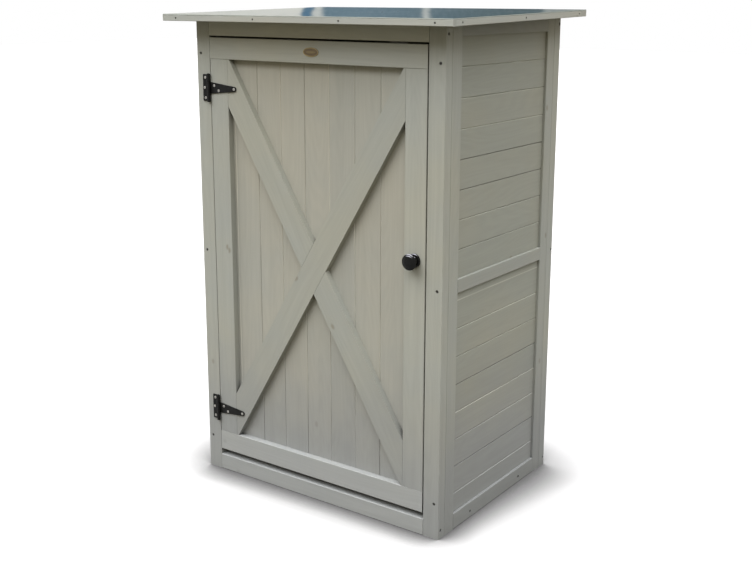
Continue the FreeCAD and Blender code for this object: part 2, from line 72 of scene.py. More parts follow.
# Frame timbers: planed softwood with eased edges under two thin coats of pale grey-green paint. The grain
# shows through as fine ridges and faint arches, and knots as soft marks. Painted shade darkens the
# corners and deep gaps and makes the paint darker and greyer towards the foot. Stiles and rails are
# screwed together at the corners of the body.
class Signal:
    """An output of a node in the material that is being made. Arithmetic on it, with a number on either
    side, adds Math nodes."""

    tree = None

    def __init__(self, socket):
        self.socket = socket

    @classmethod
    def node(cls, kind, settings, sockets, output=0):
        """Adds any node: its settings first, then the values or links of its sockets."""
        made = cls.tree.nodes.new(kind)
        for name, value in settings.items():
            setattr(made, name, value)
        for name, value in sockets.items():
            if isinstance(value, Signal):
                cls.tree.links.new(value.socket, made.inputs[name])
            else:
                made.inputs[name].default_value = value
        return None if output is None else cls(made.outputs[output])

    def math(self, operation, *others):
        return Signal.node("ShaderNodeMath", {"operation": operation}, dict(enumerate((self, *others))))

    def __add__(self, other):
        return self.math("ADD", other)

    def __sub__(self, other):
        return self.math("SUBTRACT", other)

    def __rsub__(self, other):
        return Signal.math(other, "SUBTRACT", self)

    def __mul__(self, other):
        return self.math("MULTIPLY", other)

    def __truediv__(self, other):
        return self.math("DIVIDE", other)

    def __rtruediv__(self, other):
        return Signal.math(other, "DIVIDE", self)

    def __gt__(self, other):
        return self.math("GREATER_THAN", other)

    def __lt__(self, other):
        return self.math("LESS_THAN", other)

    __radd__ = __add__
    __rmul__ = __mul__


def linear(red, green, blue):
    """A colour as it is read off a colour chart, 0 to 255, turned into the renderer's values."""
    parts = [part / 255 for part in (red, green, blue)]
    return tuple(p / 12.92 if p <= 0.04045 else ((p + 0.055) / 1.055) ** 2.4 for p in parts) + (1.0,)


def begin(name):
    """Starts a material, points every new node at it and gives back the place on the piece."""
    material = bpy.data.materials.new(name)
    material.use_nodes = True
    material.node_tree.nodes.clear()
    Signal.tree = material.node_tree
    return material, Signal.node("ShaderNodeTexCoord", {}, {}, "Object")


def facing():
    """The direction that the surface faces."""
    return Signal.node("ShaderNodeTexCoord", {}, {}, "Normal")


def surface(**sockets):
    """Ends a material with its shader."""
    names = {name.replace("_", " "): value for name, value in sockets.items()}
    shader = Signal.node("ShaderNodeBsdfPrincipled", {}, names)
    Signal.node("ShaderNodeOutputMaterial", {}, {"Surface": shader}, None)


def combine(operation, first, second, output=0):
    """Vector arithmetic."""
    return Signal.node("ShaderNodeVectorMath", {"operation": operation}, {0: first, 1: second}, output)


def dot(first, second):
    return combine("DOT_PRODUCT", first, tuple(second), "Value")


def stretch(vector, factor):
    return Signal.node("ShaderNodeVectorMath", {"operation": "SCALE"}, {0: vector, 3: factor})


def blend(factor, first, second):
    """Mixes two colours."""
    return Signal.node("ShaderNodeMix", {"data_type": "RGBA"}, {0: factor, 6: first, 7: second}, 2)


def noise(place, scale, detail=2.0, roughness=0.5):
    return Signal.node("ShaderNodeTexNoise", {}, {"Vector": place, "Scale": scale, "Detail": detail,
                                                  "Roughness": roughness})


def part_of(vector, axis):
    return Signal.node("ShaderNodeSeparateXYZ", {}, {0: vector}, axis)


def drawn(number, output="Value"):
    """A random value for a whole number."""
    return Signal.node("ShaderNodeTexWhiteNoise", {"noise_dimensions": "1D"}, {"W": number}, output)


def ease(value, low, high):
    """Runs smoothly from 0 at low to 1 at high."""
    return Signal.node("ShaderNodeMapRange", {"interpolation_type": "SMOOTHSTEP"},
                       {"Value": value, "From Min": low, "From Max": high})


def bump(height_mm):
    return Signal.node("ShaderNodeBump", {}, {"Strength": 1.0, "Distance": 0.001, "Height": height_mm})


def occlusion(reach):
    """1 in the open, towards 0 in joints and corners."""
    return Signal.node("ShaderNodeAmbientOcclusion", {"samples": 8}, {"Distance": reach}, "AO")


RIGHT, BACK, UP = Vector((1, 0, 0)), Vector((0, 1, 0)), Vector((0, 0, 1))
frame_paint = (linear(169, 171, 164), linear(171, 170, 157))
paint_change = (0.32, 0.68)
paint_gloss = 0.22
piece_step = Vector((0.371, 0.613, 0.827))
board_step = 3.0

# Marks of the grain: the share of its length that each has left after it is drawn out along the grain,
# its fineness, detail and roughness. Blotches and drift run in every direction.
fibre_marks = (0.02, 270, 4.0, 0.68)
streak_marks = (0.035, 70, 3.0, 0.55)
arch_marks = (0.09, 15, 1.0, 0.4)
arch_rings = 150
bristle_marks = (0.012, 900)
filler_marks = (0.3, 14)
blotch_marks = (7, 3.0, 0.55)
drift_marks = (2.3, 1.0)
drift_offset = (5.0, 2.0, 7.0)

# How far each mark changes the light and the hue, how high it stands in millimetres, and how much rougher
# it is. The corner mark darkens corners, a painted shade.
fibre_tone, streak_tone, arch_tone, blotch_tone, drift_tone = 0.14, 0.14, 0.03, 0.1, 0.08
board_tone, knot_tone, end_grain_tone, corner_shade = 0.05, 0.09, 0.1, 0.12
drift_hue, blotch_hue, board_hue = 0.6, 0.4, 0.1
fibre_height, streak_height, arch_height, bristle_height, knot_depth = 0.1, 0.12, 0.05, 0.03, 0.12
paint_roughness, fibre_roughness, blotch_roughness, corner_roughness = 0.5, 0.3, 0.15, 0.2
end_grain_from = 0.9

# Painted shade: the paint is darker and greyer towards the foot.
foot_shade_grey = linear(160, 162, 162)
foot_shade_height = (0.06, 0.42)
foot_shade_raggedness = 0.15
foot_shade_cover = 0.85
foot_shade_tone = 0.13
# Painted shade in deep gaps: how far the surface looks round, where the shade starts, and how dark.
gap_shade_reach = 0.02
gap_shade_from = (0.08, 0.45)
gap_shade_tone = 0.6

knot_brown = linear(128, 112, 84)
knot_tint = 0.35
knot_spacing = (0.31, 0.07)
knot_shortening = 0.7
knot_radius = 0.0055
knot_softness = (0.5, 1.4)
knot_raggedness = (160, 0.002)
knot_share = 0.2
swirl_strength = 0.05
swirl_fade = 90

# Beside joints that paint has filled the paint is painted lighter, a painted light; beside open joints it is
# painted darker, a painted shade.
joint_reach = (0.0006, 0.0019)
filler_from = (0.3, 0.66)
filler_spread = 0.2
filled_joint_painted_light = 0.55
open_joint_painted_shade = 0.3


def paint(name, grain, face, tones=frame_paint, rows=None, open_joints=(), tone_and_painted_light=1.0, depth=1.0):
    """Paint over timber. The grain runs along one direction and the broad face looks along another. rows
    turns a place into its board's number, how far the next joint is, and that joint's number. Paint has
    run into the joints, apart from the open ones: beside the filled ones the paint is painted lighter, a
    painted light, and beside the open ones darker, a painted shade. The paint is also painted darker in
    corners and deep gaps and towards the foot, and the whole piece lighter or darker by a factor that is
    partly its own tone and partly painted light and shade."""
    material, place = begin(name)
    local = combine("ADD", place, piece_step * len(bpy.data.materials))
    tone = 0.0
    if rows:
        board, joint_away, joint = rows(place)
        local = combine("ADD", local, stretch(drawn(board, "Color"), board_step))
        tone = drawn(board + 0.5) - 0.5
    along = dot(local, grain)
    sideways = dot(local, grain.cross(face))

    def drawn_out(share, *marks):
        shortened = combine("SUBTRACT", local, stretch(tuple(grain), along * (1 - share)))
        return noise(shortened, *marks)

    cells = Signal.node("ShaderNodeCombineXYZ", {},
                        {0: along / knot_spacing[0], 1: sideways / knot_spacing[1]})
    knot_at, picked = (Signal.node("ShaderNodeTexVoronoi", {"voronoi_dimensions": "2D"},
                                   {"Vector": cells, "Scale": 1.0}, output)
                       for output in ("Position", "Color"))
    shown = Signal.node("ShaderNodeSeparateColor", {}, {0: picked}) > 1 - knot_share
    cell_size = (knot_spacing[0] * knot_shortening, knot_spacing[1], 0)
    away = combine("MULTIPLY", combine("SUBTRACT", cells, knot_at), cell_size)
    away = combine("LENGTH", away, (0, 0, 0), "Value") + noise(local, knot_raggedness[0]) * knot_raggedness[1]
    knot = (1 - ease(away, *(knot_radius * part for part in knot_softness))) * shown
    swirl = swirl_strength / (1 + away * swirl_fade) * shown

    fibres = drawn_out(*fibre_marks)
    streaks = drawn_out(*streak_marks)
    arches = ((drawn_out(*arch_marks) + swirl) * arch_rings).math("SINE") * 0.5 + 0.5
    bristles = drawn_out(*bristle_marks)
    blotches = noise(local, *blotch_marks)
    drift = noise(combine("ADD", place, drift_offset), *drift_marks)
    # Painted shade in corners and deep gaps, where little of the surroundings is open.
    open_air = occlusion(gap_shade_reach)
    gap_shade = 1 - ease(open_air, *gap_shade_from)
    # Painted shade, darker and greyer towards the foot.
    foot_shade = 1 - ease(part_of(place, 2) + (blotches - 0.5) * foot_shade_raggedness, *foot_shade_height)
    end_grain = dot(facing(), grain).math("ABSOLUTE") > end_grain_from

    grain_light = (fibres - 0.5) * fibre_tone + (streaks - 0.5) * streak_tone + (arches - 0.5) * arch_tone
    light = 1 + grain_light * depth + (blotches - 0.5) * blotch_tone + (drift - 0.5) * drift_tone
    light = light + tone * board_tone - knot * knot_tone - end_grain * end_grain_tone
    light = light * (1 - (1 - open_air) * corner_shade) * (1 - foot_shade * foot_shade_tone) * (1 - gap_shade * gap_shade_tone)
    # The whole piece made lighter or darker: partly its own tone, partly painted light and shade.
    light = light * tone_and_painted_light
    if rows:
        # Painted light beside the filled joints, painted shade beside the open ones.
        opened = sum((joint - at).math("ABSOLUTE") < 0.5 for at in open_joints)
        run_in = drawn_out(*filler_marks) + (drawn(joint + 0.3) - 0.5) * filler_spread
        joint_painted_light = ease(run_in, *filler_from) * filled_joint_painted_light * (1 - opened)
        light = light * (1 + (1 - ease(joint_away, *joint_reach)) * (joint_painted_light - opened * open_joint_painted_shade))
    hue_place = drift * drift_hue + blotches * blotch_hue + tone * board_hue
    hue = blend(ease(hue_place, *paint_change), *tones)
    hue = blend(foot_shade * foot_shade_cover, blend(knot * knot_tint, hue, knot_brown), foot_shade_grey)
    grain_height = fibres * fibre_height + streaks * streak_height + arches * arch_height
    surface(
        Base_Color=stretch(hue, light), Specular_IOR_Level=paint_gloss,
        Normal=bump(grain_height * depth + bristles * bristle_height - knot * knot_depth),
        Roughness=(paint_roughness + (fibres - 0.5) * fibre_roughness + (blotches - 0.5) * blotch_roughness
                   + (1 - open_air) * corner_roughness))
    return material


def dress(material, *nodes):
    """Gives the material to pieces whose solids are shown as they are."""
    for name in nodes:
        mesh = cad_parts[name].data
        mesh.materials.clear()
        mesh.materials.append(material)


# Each factor makes a piece lighter or darker: partly its own tone, partly painted light and shade; the header
# and sill are painted lighter, and the side walls' top and middle rails darker.
for name, tone_and_painted_light in (("front_stile_left", 1.07), ("front_stile_right", 1.04), ("back_stile_left", 1.0),
                    ("back_stile_right", 0.99)):
    dress(paint(name + "_paint", UP, BACK, tone_and_painted_light=tone_and_painted_light), name)
for name, tone_and_painted_light in (("front_header", 1.28), ("front_sill", 1.25), ("back_top_rail", 1.0),
                    ("back_mid_rail", 1.0), ("back_bottom_rail", 1.0)):
    dress(paint(name + "_paint", RIGHT, BACK, tone_and_painted_light=tone_and_painted_light), name)
for wall in ("side_left_", "side_right_"):
    for name, grain, tone_and_painted_light in (("stile_front", UP, 1.01), ("stile_back", UP, 0.97), ("top_rail", BACK, 0.8),
                               ("mid_rail", BACK, 0.91), ("bottom_rail", BACK, 0.98)):
        dress(paint(wall + name + "_paint", grain, RIGHT, tone_and_painted_light=tone_and_painted_light), wall + name)


# Body screws: dulled zinc wood screws with a flat crossed head, driven just below the surface at the
# corners of the body, up through the roof boards and into the cleats.
spangle_fineness = 700
spangle_height = 0.01
smear_fineness = 60
# How far and how deep the painted shade in the zinc's creases goes.
zinc_shade_reach = 0.002
zinc_shaded_light = 0.4
zinc_metallic = 0.85
zinc_roughness = 0.34
zinc_unevenness = 0.3
body_screw_head = 0.0022
body_screw_shank = 0.0018
point_length = 4
head_dome = ((1.0, 0.6), (0.96, 0.34), (0.84, 0.14), (0.64, 0.03))
cross_arm, cross_half, cross_depth, cross_taper = 0.52, 0.13, 0.5, 0.8
quarter_turns = ((1, 0), (0, 1), (-1, 0), (0, -1))
sharp_above = 35


def zinc(name, pale, dull):
    material, place = begin(name)
    spangle = noise(place, spangle_fineness)
    smears = noise(place, smear_fineness)
    # Painted shade in the creases, where little of the surroundings is open.
    unshaded = occlusion(zinc_shade_reach)
    hue = blend(spangle * 0.5 + smears * 0.5, pale, dull)
    surface(Base_Color=stretch(hue, zinc_shaded_light + unshaded * (1 - zinc_shaded_light)), Metallic=zinc_metallic,
            Roughness=zinc_roughness + (smears - unshaded + 0.5) * zinc_unevenness,
            Normal=bump(spangle * spangle_height))
    return material


def turn(bm, profile, place, steps=32, widen=0.0):
    """Turns a profile of radii and heights round the local Z axis, and gives back its rings. widen makes
    every round longer along the local X axis, as on an oval."""
    rings = []
    for radius, height in profile:
        angles = [math.tau * step / steps for step in range(steps if radius > 0 else 1)]
        rings.append([bm.verts.new(place @ Vector(((radius + widen) * math.cos(a) if radius else 0,
                                                   radius * math.sin(a), height))) for a in angles])
    for lower, upper in zip(rings, rings[1:]):
        for i in range(steps):
            pairs = [(lower, i), (lower, i + 1), (upper, i + 1), (upper, i)]
            bm.faces.new(dict.fromkeys(ring[at % len(ring)] for ring, at in pairs))
    return rings


def join(bm, lower, upper):
    """Faces all the way round between two rings of as many points."""
    for i in range(len(lower)):
        j = (i + 1) % len(lower)
        bm.faces.new((lower[i], lower[j], upper[j], upper[i]))


def screw(bm, place, head, height, length, shank):
    """A screw with a low domed head and a cross. The local Z axis points out of the head's face."""
    profile = [(0, -length), (shank, point_length * shank - length), (shank, -height), (head, -height)]
    profile += [(head * wide, -height * down) for wide, down in head_dome]
    ring = turn(bm, profile, place)[-1]
    arm, half, depth = cross_arm * head, cross_half * head, cross_depth * height
    quarter = ((arm, -half), (arm, half), (half, half))
    cross = [(x * cos - y * sin, x * sin + y * cos) for cos, sin in quarter_turns for x, y in quarter]
    mouth = [bm.verts.new(place @ Vector((x, y, 0))) for x, y in cross]
    floor = [bm.verts.new(place @ Vector((x * cross_taper, y * cross_taper, -depth))) for x, y in cross]
    rim = [bm.edges.new(side) for side in zip(mouth, mouth[1:] + mouth[:1])]
    rim += [bm.edges.get(side) for side in zip(ring, ring[1:] + ring[:1])]
    bmesh.ops.bridge_loops(bm, edges=rim)
    join(bm, mouth, floor)
    bm.faces.new(floor)


def fasteners(node):
    """Where each screw, nail or pin of a node sits: a frame whose Z axis points out of its head, the
    head's radius and the length."""
    bm = bmesh.new()
    bm.from_mesh(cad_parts[node].data)
    bmesh.ops.remove_doubles(bm, verts=bm.verts, dist=1e-6)
    found, left = [], set(bm.verts)
    while left:
        edge, points = [left.pop()], []
        while edge:
            vert = edge.pop()
            points.append(vert.co.copy())
            fresh = [link.other_vert(vert) for link in vert.link_edges if link.other_vert(vert) in left]
            left.difference_update(fresh)
            edge += fresh
        low, high = (Vector([pick(point[i] for point in points) for i in range(3)]) for pick in (min, max))
        axis = max(range(3), key=lambda i: high[i] - low[i])
        centre, length = (low + high) / 2, high[axis] - low[axis]
        out = Vector([float(i == axis) for i in range(3)])
        girth = {1: 0.0, -1: 0.0}
        for point in points:
            across = point - centre
            end = 1 if across[axis] > 0 else -1
            girth[end] = max(girth[end], (across - out * across[axis]).length)
        out *= max(girth, key=girth.get)
        turned = out.to_track_quat("Z", "Y").to_matrix().to_4x4()
        found.append((Matrix.Translation(centre + out * length / 2) @ turned, max(girth.values()), length))
    bm.free()
    return sorted(found, key=lambda one: tuple(round(part, 4) for part in one[0].translation))


def show(name, body, slot, material, bm, *nodes):
    """Shows what was built in bm instead of the solids that it stands for."""
    bmesh.ops.recalc_face_normals(bm, faces=bm.faces)
    mesh = bpy.data.meshes.new(name)
    bm.to_mesh(mesh)
    bm.free()
    mesh.shade_smooth()
    mesh.set_sharp_from_angle(angle=math.radians(sharp_above))
    mesh.materials.append(material)
    piece = bpy.data.objects.new(name, mesh)
    bpy.context.scene.collection.objects.link(piece)
    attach(piece, body)
    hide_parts(*nodes)


def screws(name, body, material, node, head, shank):
    """Shows crossed screws instead of a node's plain ones."""
    bm = bmesh.new()
    for place, radius, length in fasteners(node):
        screw(bm, place, radius, head, length, shank)
    show(name, body, "zinc", material, bm, node)


dull_zinc = zinc("dull_zinc", linear(96, 94, 88), linear(52, 50, 46))
screws("body_screws", "cabinet", dull_zinc, "frame_screws", body_screw_head, body_screw_shank)


# Wall boards: tongue-and-groove softwood laid level in the frames' rebates, one width after the other
# above and below the middle rail. Paint has run into some of the joints and left others open; beside the
# filled joints the paint is painted lighter, a painted light, and beside the open ones darker, a painted
# shade.
wall_tones = (linear(158, 160, 150), linear(160, 159, 146))
open_wall_joints = (1, 4, 42, 43)
wall_board_cover = 0.0614
lower_first_joint = 0.0793
upper_first_joint = 0.6157
lower_field_top = 0.54
upper_numbers_from = 40


def rows_of(place, axis, first, cover):
    """The board's number, how far the next joint is, and that joint's number."""
    row = (part_of(place, axis) - first) / cover
    joint = row.math("ROUND")
    return row.math("FLOOR"), (row - joint).math("ABSOLUTE") * cover, joint


def wall_rows(place):
    upper = part_of(place, 2) > lower_field_top
    first = lower_first_joint + upper * (upper_first_joint - lower_first_joint)
    board, joint_away, joint = rows_of(place, 2, first, wall_board_cover)
    return board + upper * upper_numbers_from, joint_away, joint + upper * upper_numbers_from


for name, grain, face in (("side_left_boards", BACK, RIGHT), ("side_right_boards", BACK, RIGHT),
                          ("back_boards", RIGHT, BACK)):
    dress(paint(name + "_paint", grain, face, wall_tones, wall_rows, open_wall_joints), name)


# Floor and shelf: planed boards laid loose on bearers and cleats, with the same paint brushed on thinly,
# so that more of the grain shows.
inner_tones = (linear(160, 160, 150), linear(166, 161, 144))
inner_grain = 1.3
floor_board_pitch = 0.073
shelf_board_pitch = 0.079


def floor_rows(place):
    return rows_of(place, 1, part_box("floor_boards")[0].y, floor_board_pitch)


def shelf_rows(place):
    return rows_of(place, 1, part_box("shelf_boards")[0].y, shelf_board_pitch)


dress(paint("floor_board_paint", RIGHT, UP, inner_tones, floor_rows, depth=inner_grain), "floor_boards")
dress(paint("shelf_board_paint", RIGHT, UP, inner_tones, shelf_rows, depth=inner_grain), "shelf_boards")
dress(paint("bearer_paint", BACK, UP, inner_tones), "floor_bearer_left", "floor_bearer_middle",
      "floor_bearer_right")
dress(paint("cleat_paint", BACK, RIGHT, inner_tones), "shelf_cleat_left", "shelf_cleat_right")


# Roof: boards laid front to back and closed in by strips, nailed through from outside. One sheet of bare
# steel lies over them, bent down over the strips, with rolling marks. Its pale and dark streaks and patches
# of colour are a painted reflection, and so is its pale bent edge.
deck_board_pitch = 0.0917
# The roof strips are painted paler than the same paint elsewhere, a painted light.
strip_painted_light_tones = (linear(181, 183, 177), linear(183, 182, 171))
nail_head = 0.001
nail_shank = 0.0011


def deck_rows(place):
    return rows_of(place, 0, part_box("roof_deck_boards")[0].x, deck_board_pitch)


dress(paint("roof_deck_paint", BACK, UP, inner_tones, deck_rows), "roof_deck_boards")
for side, grain, face in (("front", RIGHT, BACK), ("back", RIGHT, BACK), ("left", BACK, RIGHT),
                          ("right", BACK, RIGHT)):
    dress(paint("roof_strip_" + side + "_paint", grain, face, strip_painted_light_tones), "roof_strip_" + side)

bm = bmesh.new()
for place, radius, length in fasteners("roof_nails"):
    profile = [(0, -length), (nail_shank, point_length * nail_shank - length), (nail_shank, -nail_head),
               (radius, -nail_head), (radius, -0.4 * nail_head), (0.8 * radius, -0.1 * nail_head), (0, 0)]
    turn(bm, profile, place, steps=20)
show("roof_nail_heads", "cabinet", "zinc", dull_zinc, bm, "roof_nails")

# The painted reflection is drawn as streaks that fan out from one point. Each edge between two streaks is
# an angle there, and how much paler the sheet gets beyond it. The first streak is painted blue. Broad
# and fine marks are drawn out along the streaks to these shares.
reflection_fan_from = (1.6, -2.25)
reflection_edges = ((-0.677, -0.9), (-0.669, 0.6), (-0.66, -0.65), (-0.5803, 0.5), (-0.574, -0.5),
                (-0.4845, 0.35))
reflection_edge_blur = 0.0035
reflection_wobble = 0.008
reflection_radius = 2.4
reflection_shares = (0.1, 0.03)
wobble_marks = (30, 3.0, 0.6)
band_marks = (12, 2.0)
line_marks = (110, 3.0, 0.6)
patch_marks = (6, 3.0, 0.6)
band_change, line_change, patch_change = 0.5, 0.3, 0.2
paleness_at_left = 0.95
sheet_pale = linear(178, 178, 170)
sheet_deep = (linear(80, 101, 111), linear(63, 79, 82))
sheet_deep_change = (-0.651, -0.491)
sheet_blue = linear(62, 94, 114)
hem_painted_pale = linear(176, 180, 172)
sheet_top_from = (0.3, 0.9)
sheet_metallic = 0.5
sheet_tint = (0.02, 0.05, 0.07, 1.0)
sheet_roughness = 0.34
sheet_unevenness = 0.2
rolling_squeeze = (1.0, 0.02, 1.0)
rolling_fineness = 500
rolling_height, patch_height = 0.008, 0.15

sheet_metal, place = begin("sheet_metal")
aside, ahead = (part_of(place, axis) - reflection_fan_from[axis] for axis in (0, 1))
angle = aside.math("ARCTAN2", ahead)
broad, fine = (Signal.node("ShaderNodeCombineXYZ", {}, {0: angle * reflection_radius, 1: ahead * share})
               for share in reflection_shares)
wavy_angle = angle + (noise(broad, *wobble_marks) - 0.5) * reflection_wobble
past = [ease(wavy_angle, edge - reflection_edge_blur, edge + reflection_edge_blur) for edge, change in reflection_edges]
bands = noise(broad, *band_marks)
lines = noise(fine, *line_marks)
patches = noise(place, *patch_marks)
hairlines = noise(combine("MULTIPLY", place, rolling_squeeze), rolling_fineness)
pale = paleness_at_left + sum(passed * change for passed, (edge, change) in zip(past, reflection_edges))
pale = pale + (bands - 0.5) * band_change + (lines - 0.5) * line_change + (patches - 0.5) * patch_change
deep = blend(past[0] * (1 - past[1]), blend(ease(wavy_angle, *sheet_deep_change), *sheet_deep), sheet_blue)
top = blend(ease(pale, 0.0, 1.0), deep, sheet_pale)
# The pale bent edge, picked by the way it faces, is a painted reflection; the streaks are one too.
surface(
    Base_Color=blend(ease(part_of(facing(), 2), *sheet_top_from), hem_painted_pale, top),
    Metallic=sheet_metallic, Specular_IOR_Level=0.0, Specular_Tint=sheet_tint,
    Roughness=sheet_roughness + (lines + patches - 1) * sheet_unevenness,
    Normal=bump(hairlines * rolling_height + patches * patch_height))

# The sheet sags a little between the boards and lies flat near its edges. Its hem goes outwards and down
# step by step, and at last inwards under the strips.
sheet_fall = 0.02057
sheet_sag = 0.00025
sheet_cells = (66, 48)
sheet_calm_power = 6
sheet_waves = (9, 11)
sheet_hem = ((0.0004, 0.0001), (0.0003, 0.0003), (0.0001, 0.0004), (0, 0.0012), (-0.0002, 0.0002),
             (-0.0045, 0))
hem_reach = sum(grow for grow, drop in sheet_hem if grow > 0)
sheet_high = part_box("roof_sheet")[1]
bm = bmesh.new()
bmesh.ops.create_grid(bm, x_segments=sheet_cells[0], y_segments=sheet_cells[1], size=1.0)
reach = Vector((sheet_high.x - hem_reach, sheet_high.y - hem_reach))
for vert in bm.verts:
    calm = (1 - vert.co.x ** sheet_calm_power) * (1 - vert.co.y ** sheet_calm_power)
    vert.co = (vert.co.x * reach.x, vert.co.y * reach.y, 0)
    swell = math.cos(vert.co.x * math.tau / deck_board_pitch)
    swell += math.sin(vert.co.x * sheet_waves[0] + 1) * math.cos(vert.co.y * sheet_waves[1])
    vert.co.z = sheet_sag * calm * (swell / 4 - 0.5)
rim = [vert for vert in bm.verts if vert.is_boundary]
rim.sort(key=lambda vert: math.atan2(vert.co.y, vert.co.x))
for grow, drop in sheet_hem:
    bent = [bm.verts.new(vert.co) for vert in rim]
    for vert in bent:
        for i in (0, 1):
            if abs(vert.co[i]) > reach[i] - 1e-5:
                vert.co[i] += grow * math.copysign(1, vert.co[i])
        vert.co.z -= drop
    join(bm, rim, bent)
    reach += Vector((grow, grow))
    rim = bent
for vert in bm.verts:
    vert.co.z += sheet_high.z - (sheet_high.y - vert.co.y) * sheet_fall
show("roof_cover", "cabinet", "roof_sheet", sheet_metal, bm, "roof_sheet")


# Door: a frame of stiles and rails, upright tongue-and-groove boards behind it, and braces let in from
# corner to corner. One brace runs through and the other is cut in two at the crossing.
door_board_cover = 0.0665
door_first_joint = 0.07375
door_tones = (linear(172, 172, 163), linear(175, 172, 159))
brace_steepness = 1.66
rising = Vector((1, 0, brace_steepness)).normalized()
falling = Vector((1, 0, -brace_steepness)).normalized()


def door_rows(place):
    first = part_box("door_stile_left")[1].x + door_first_joint
    return rows_of(place, 0, first, door_board_cover)


# Each factor makes a door piece lighter or darker: partly its own tone, partly painted light, most on the
# bottom rail.
for name, grain, tone_and_painted_light in (("stile_left", UP, 1.05), ("stile_right", UP, 1.06), ("top_rail", RIGHT, 1.06),
                           ("bottom_rail", RIGHT, 1.27), ("brace_through", rising, 1.0),
                           ("brace_upper", falling, 1.01), ("brace_lower", falling, 1.0)):
    dress(paint("door_" + name + "_paint", grain, BACK, tone_and_painted_light=tone_and_painted_light), "door_" + name)
dress(paint("door_board_paint", UP, BACK, door_tones, door_rows), "door_boards")


# Tee hinges: leaf and strap of pressed steel with a black coating, each rolled round an upright pin, and
# held by zinc-plated screws with a domed head and a cross.
coating_black = (linear(12, 12, 11), linear(26, 26, 24))
bare_steel = linear(120, 118, 112)
# A painted highlight lightens what faces up and forward.
highlight_grey = linear(190, 190, 198)
highlight_side = Vector((0.08, -0.6, 0.79)).normalized()
highlight_width = (0.86, 0.98)
worn_from = (0.64, 0.74)
coating_grain = (1400, 2.0, 0.6)
coating_smear = (90, 3.0, 0.6)
coating_height = 0.02
coating_gloss = 0.13
coating_unevenness = 0.3


def black_metal(name, roughness, wear, highlight_amount=0.0):
    """Black coating, with a painted highlight on what faces up and forward, as strong as the last argument
    says.
    """
    material, place = begin(name)
    grains = noise(place, *coating_grain)
    smears = noise(place, *coating_smear)
    bare = ease(grains * 0.4 + smears * 0.6, *worn_from) * wear
    # A painted highlight on what faces up and forward.
    painted_highlight = ease(dot(facing(), highlight_side), *highlight_width) * highlight_amount
    hue = blend(bare, blend(smears, *coating_black), bare_steel)
    surface(Base_Color=blend(painted_highlight, hue, highlight_grey), Metallic=bare, Specular_IOR_Level=coating_gloss,
            Roughness=roughness + (smears - 0.5) * coating_unevenness,
            Normal=bump((grains + smears) * coating_height))
    return material


def inset(outline, distance):
    """The outline moved inwards. It runs anticlockwise."""
    moved = []
    for before, at, after in zip(outline[-1:] + outline[:-1], outline, outline[1:] + outline[:1]):
        first, second = (at - before).normalized(), (after - at).normalized()
        inward = Vector((-first.y - second.y, first.x + second.x))
        moved.append(at + inward * distance / (1 + first.dot(second)))
    return moved


def prism(bm, outline, low, high, edge, place=Matrix()):
    """A plate with this outline, from low to high along the local Z axis, with broken edges."""
    outline = [Vector(point) for point in outline]
    layers = ((low, edge), (low + 0.3 * edge, 0.3 * edge), (low + edge, 0), (high - edge, 0),
              (high - 0.3 * edge, 0.3 * edge), (high, edge))
    rings = [[bm.verts.new(place @ Vector((*point, height))) for point in inset(outline, by)]
             for height, by in layers]
    for lower, upper in zip(rings, rings[1:]):
        join(bm, lower, upper)
    bm.faces.new(reversed(rings[0]))
    bm.faces.new(rings[-1])


def arc(centre, radius, start, end, steps):
    """Points on a round, between two angles in degrees."""
    angles = [math.radians(start + (end - start) * step / steps) for step in range(steps + 1)]
    return [(centre[0] + radius * math.cos(a), centre[1] + radius * math.sin(a)) for a in angles]


hinge_x = -0.293
hinge_y = -0.2318
hinge_heights = {"top": 0.9176, "bottom": 0.1565}
plate_back = 0.2275
plate_front = 0.2295
metal_edge = 0.0003
leaf_half = 0.03
leaf_reach = 0.0195
leaf_corner = 0.0016
strap_half = 0.0125
strap_length = 0.08
strap_tip = 0.0055
strap_root = 0.001
strap_straight = 0.008
knuckle_r = 0.004
knuckle_metal = 0.0019
knuckle_edge = 0.00021
knuckle_gap = 0.0004
roll_start = 0.0042
roll_angle = 292
barrel_half = 0.031
pin_r = 0.0016
pin_head_r = 0.0026
pin_head = 0.0012
pin_shown = 0.0008
upright = Matrix.Rotation(math.radians(90), 4, "X")
hinge_black = black_metal("hinge_coating", roughness=0.42, wear=0.5)


def knuckle(bm, way, low, high):
    """The rolled edge of a plate that comes from the left (way -1) or the right (way 1)."""
    outer, inner = (arc((hinge_x, hinge_y), radius, 90, 90 + way * roll_angle, 30)
                    for radius in (knuckle_r, knuckle_r - knuckle_metal))
    start = hinge_x + way * roll_start
    path = [(start, outer[0][1])] + outer + inner[::-1] + [(start, inner[0][1])]
    prism(bm, path if way > 0 else path[::-1], low, high, knuckle_edge)


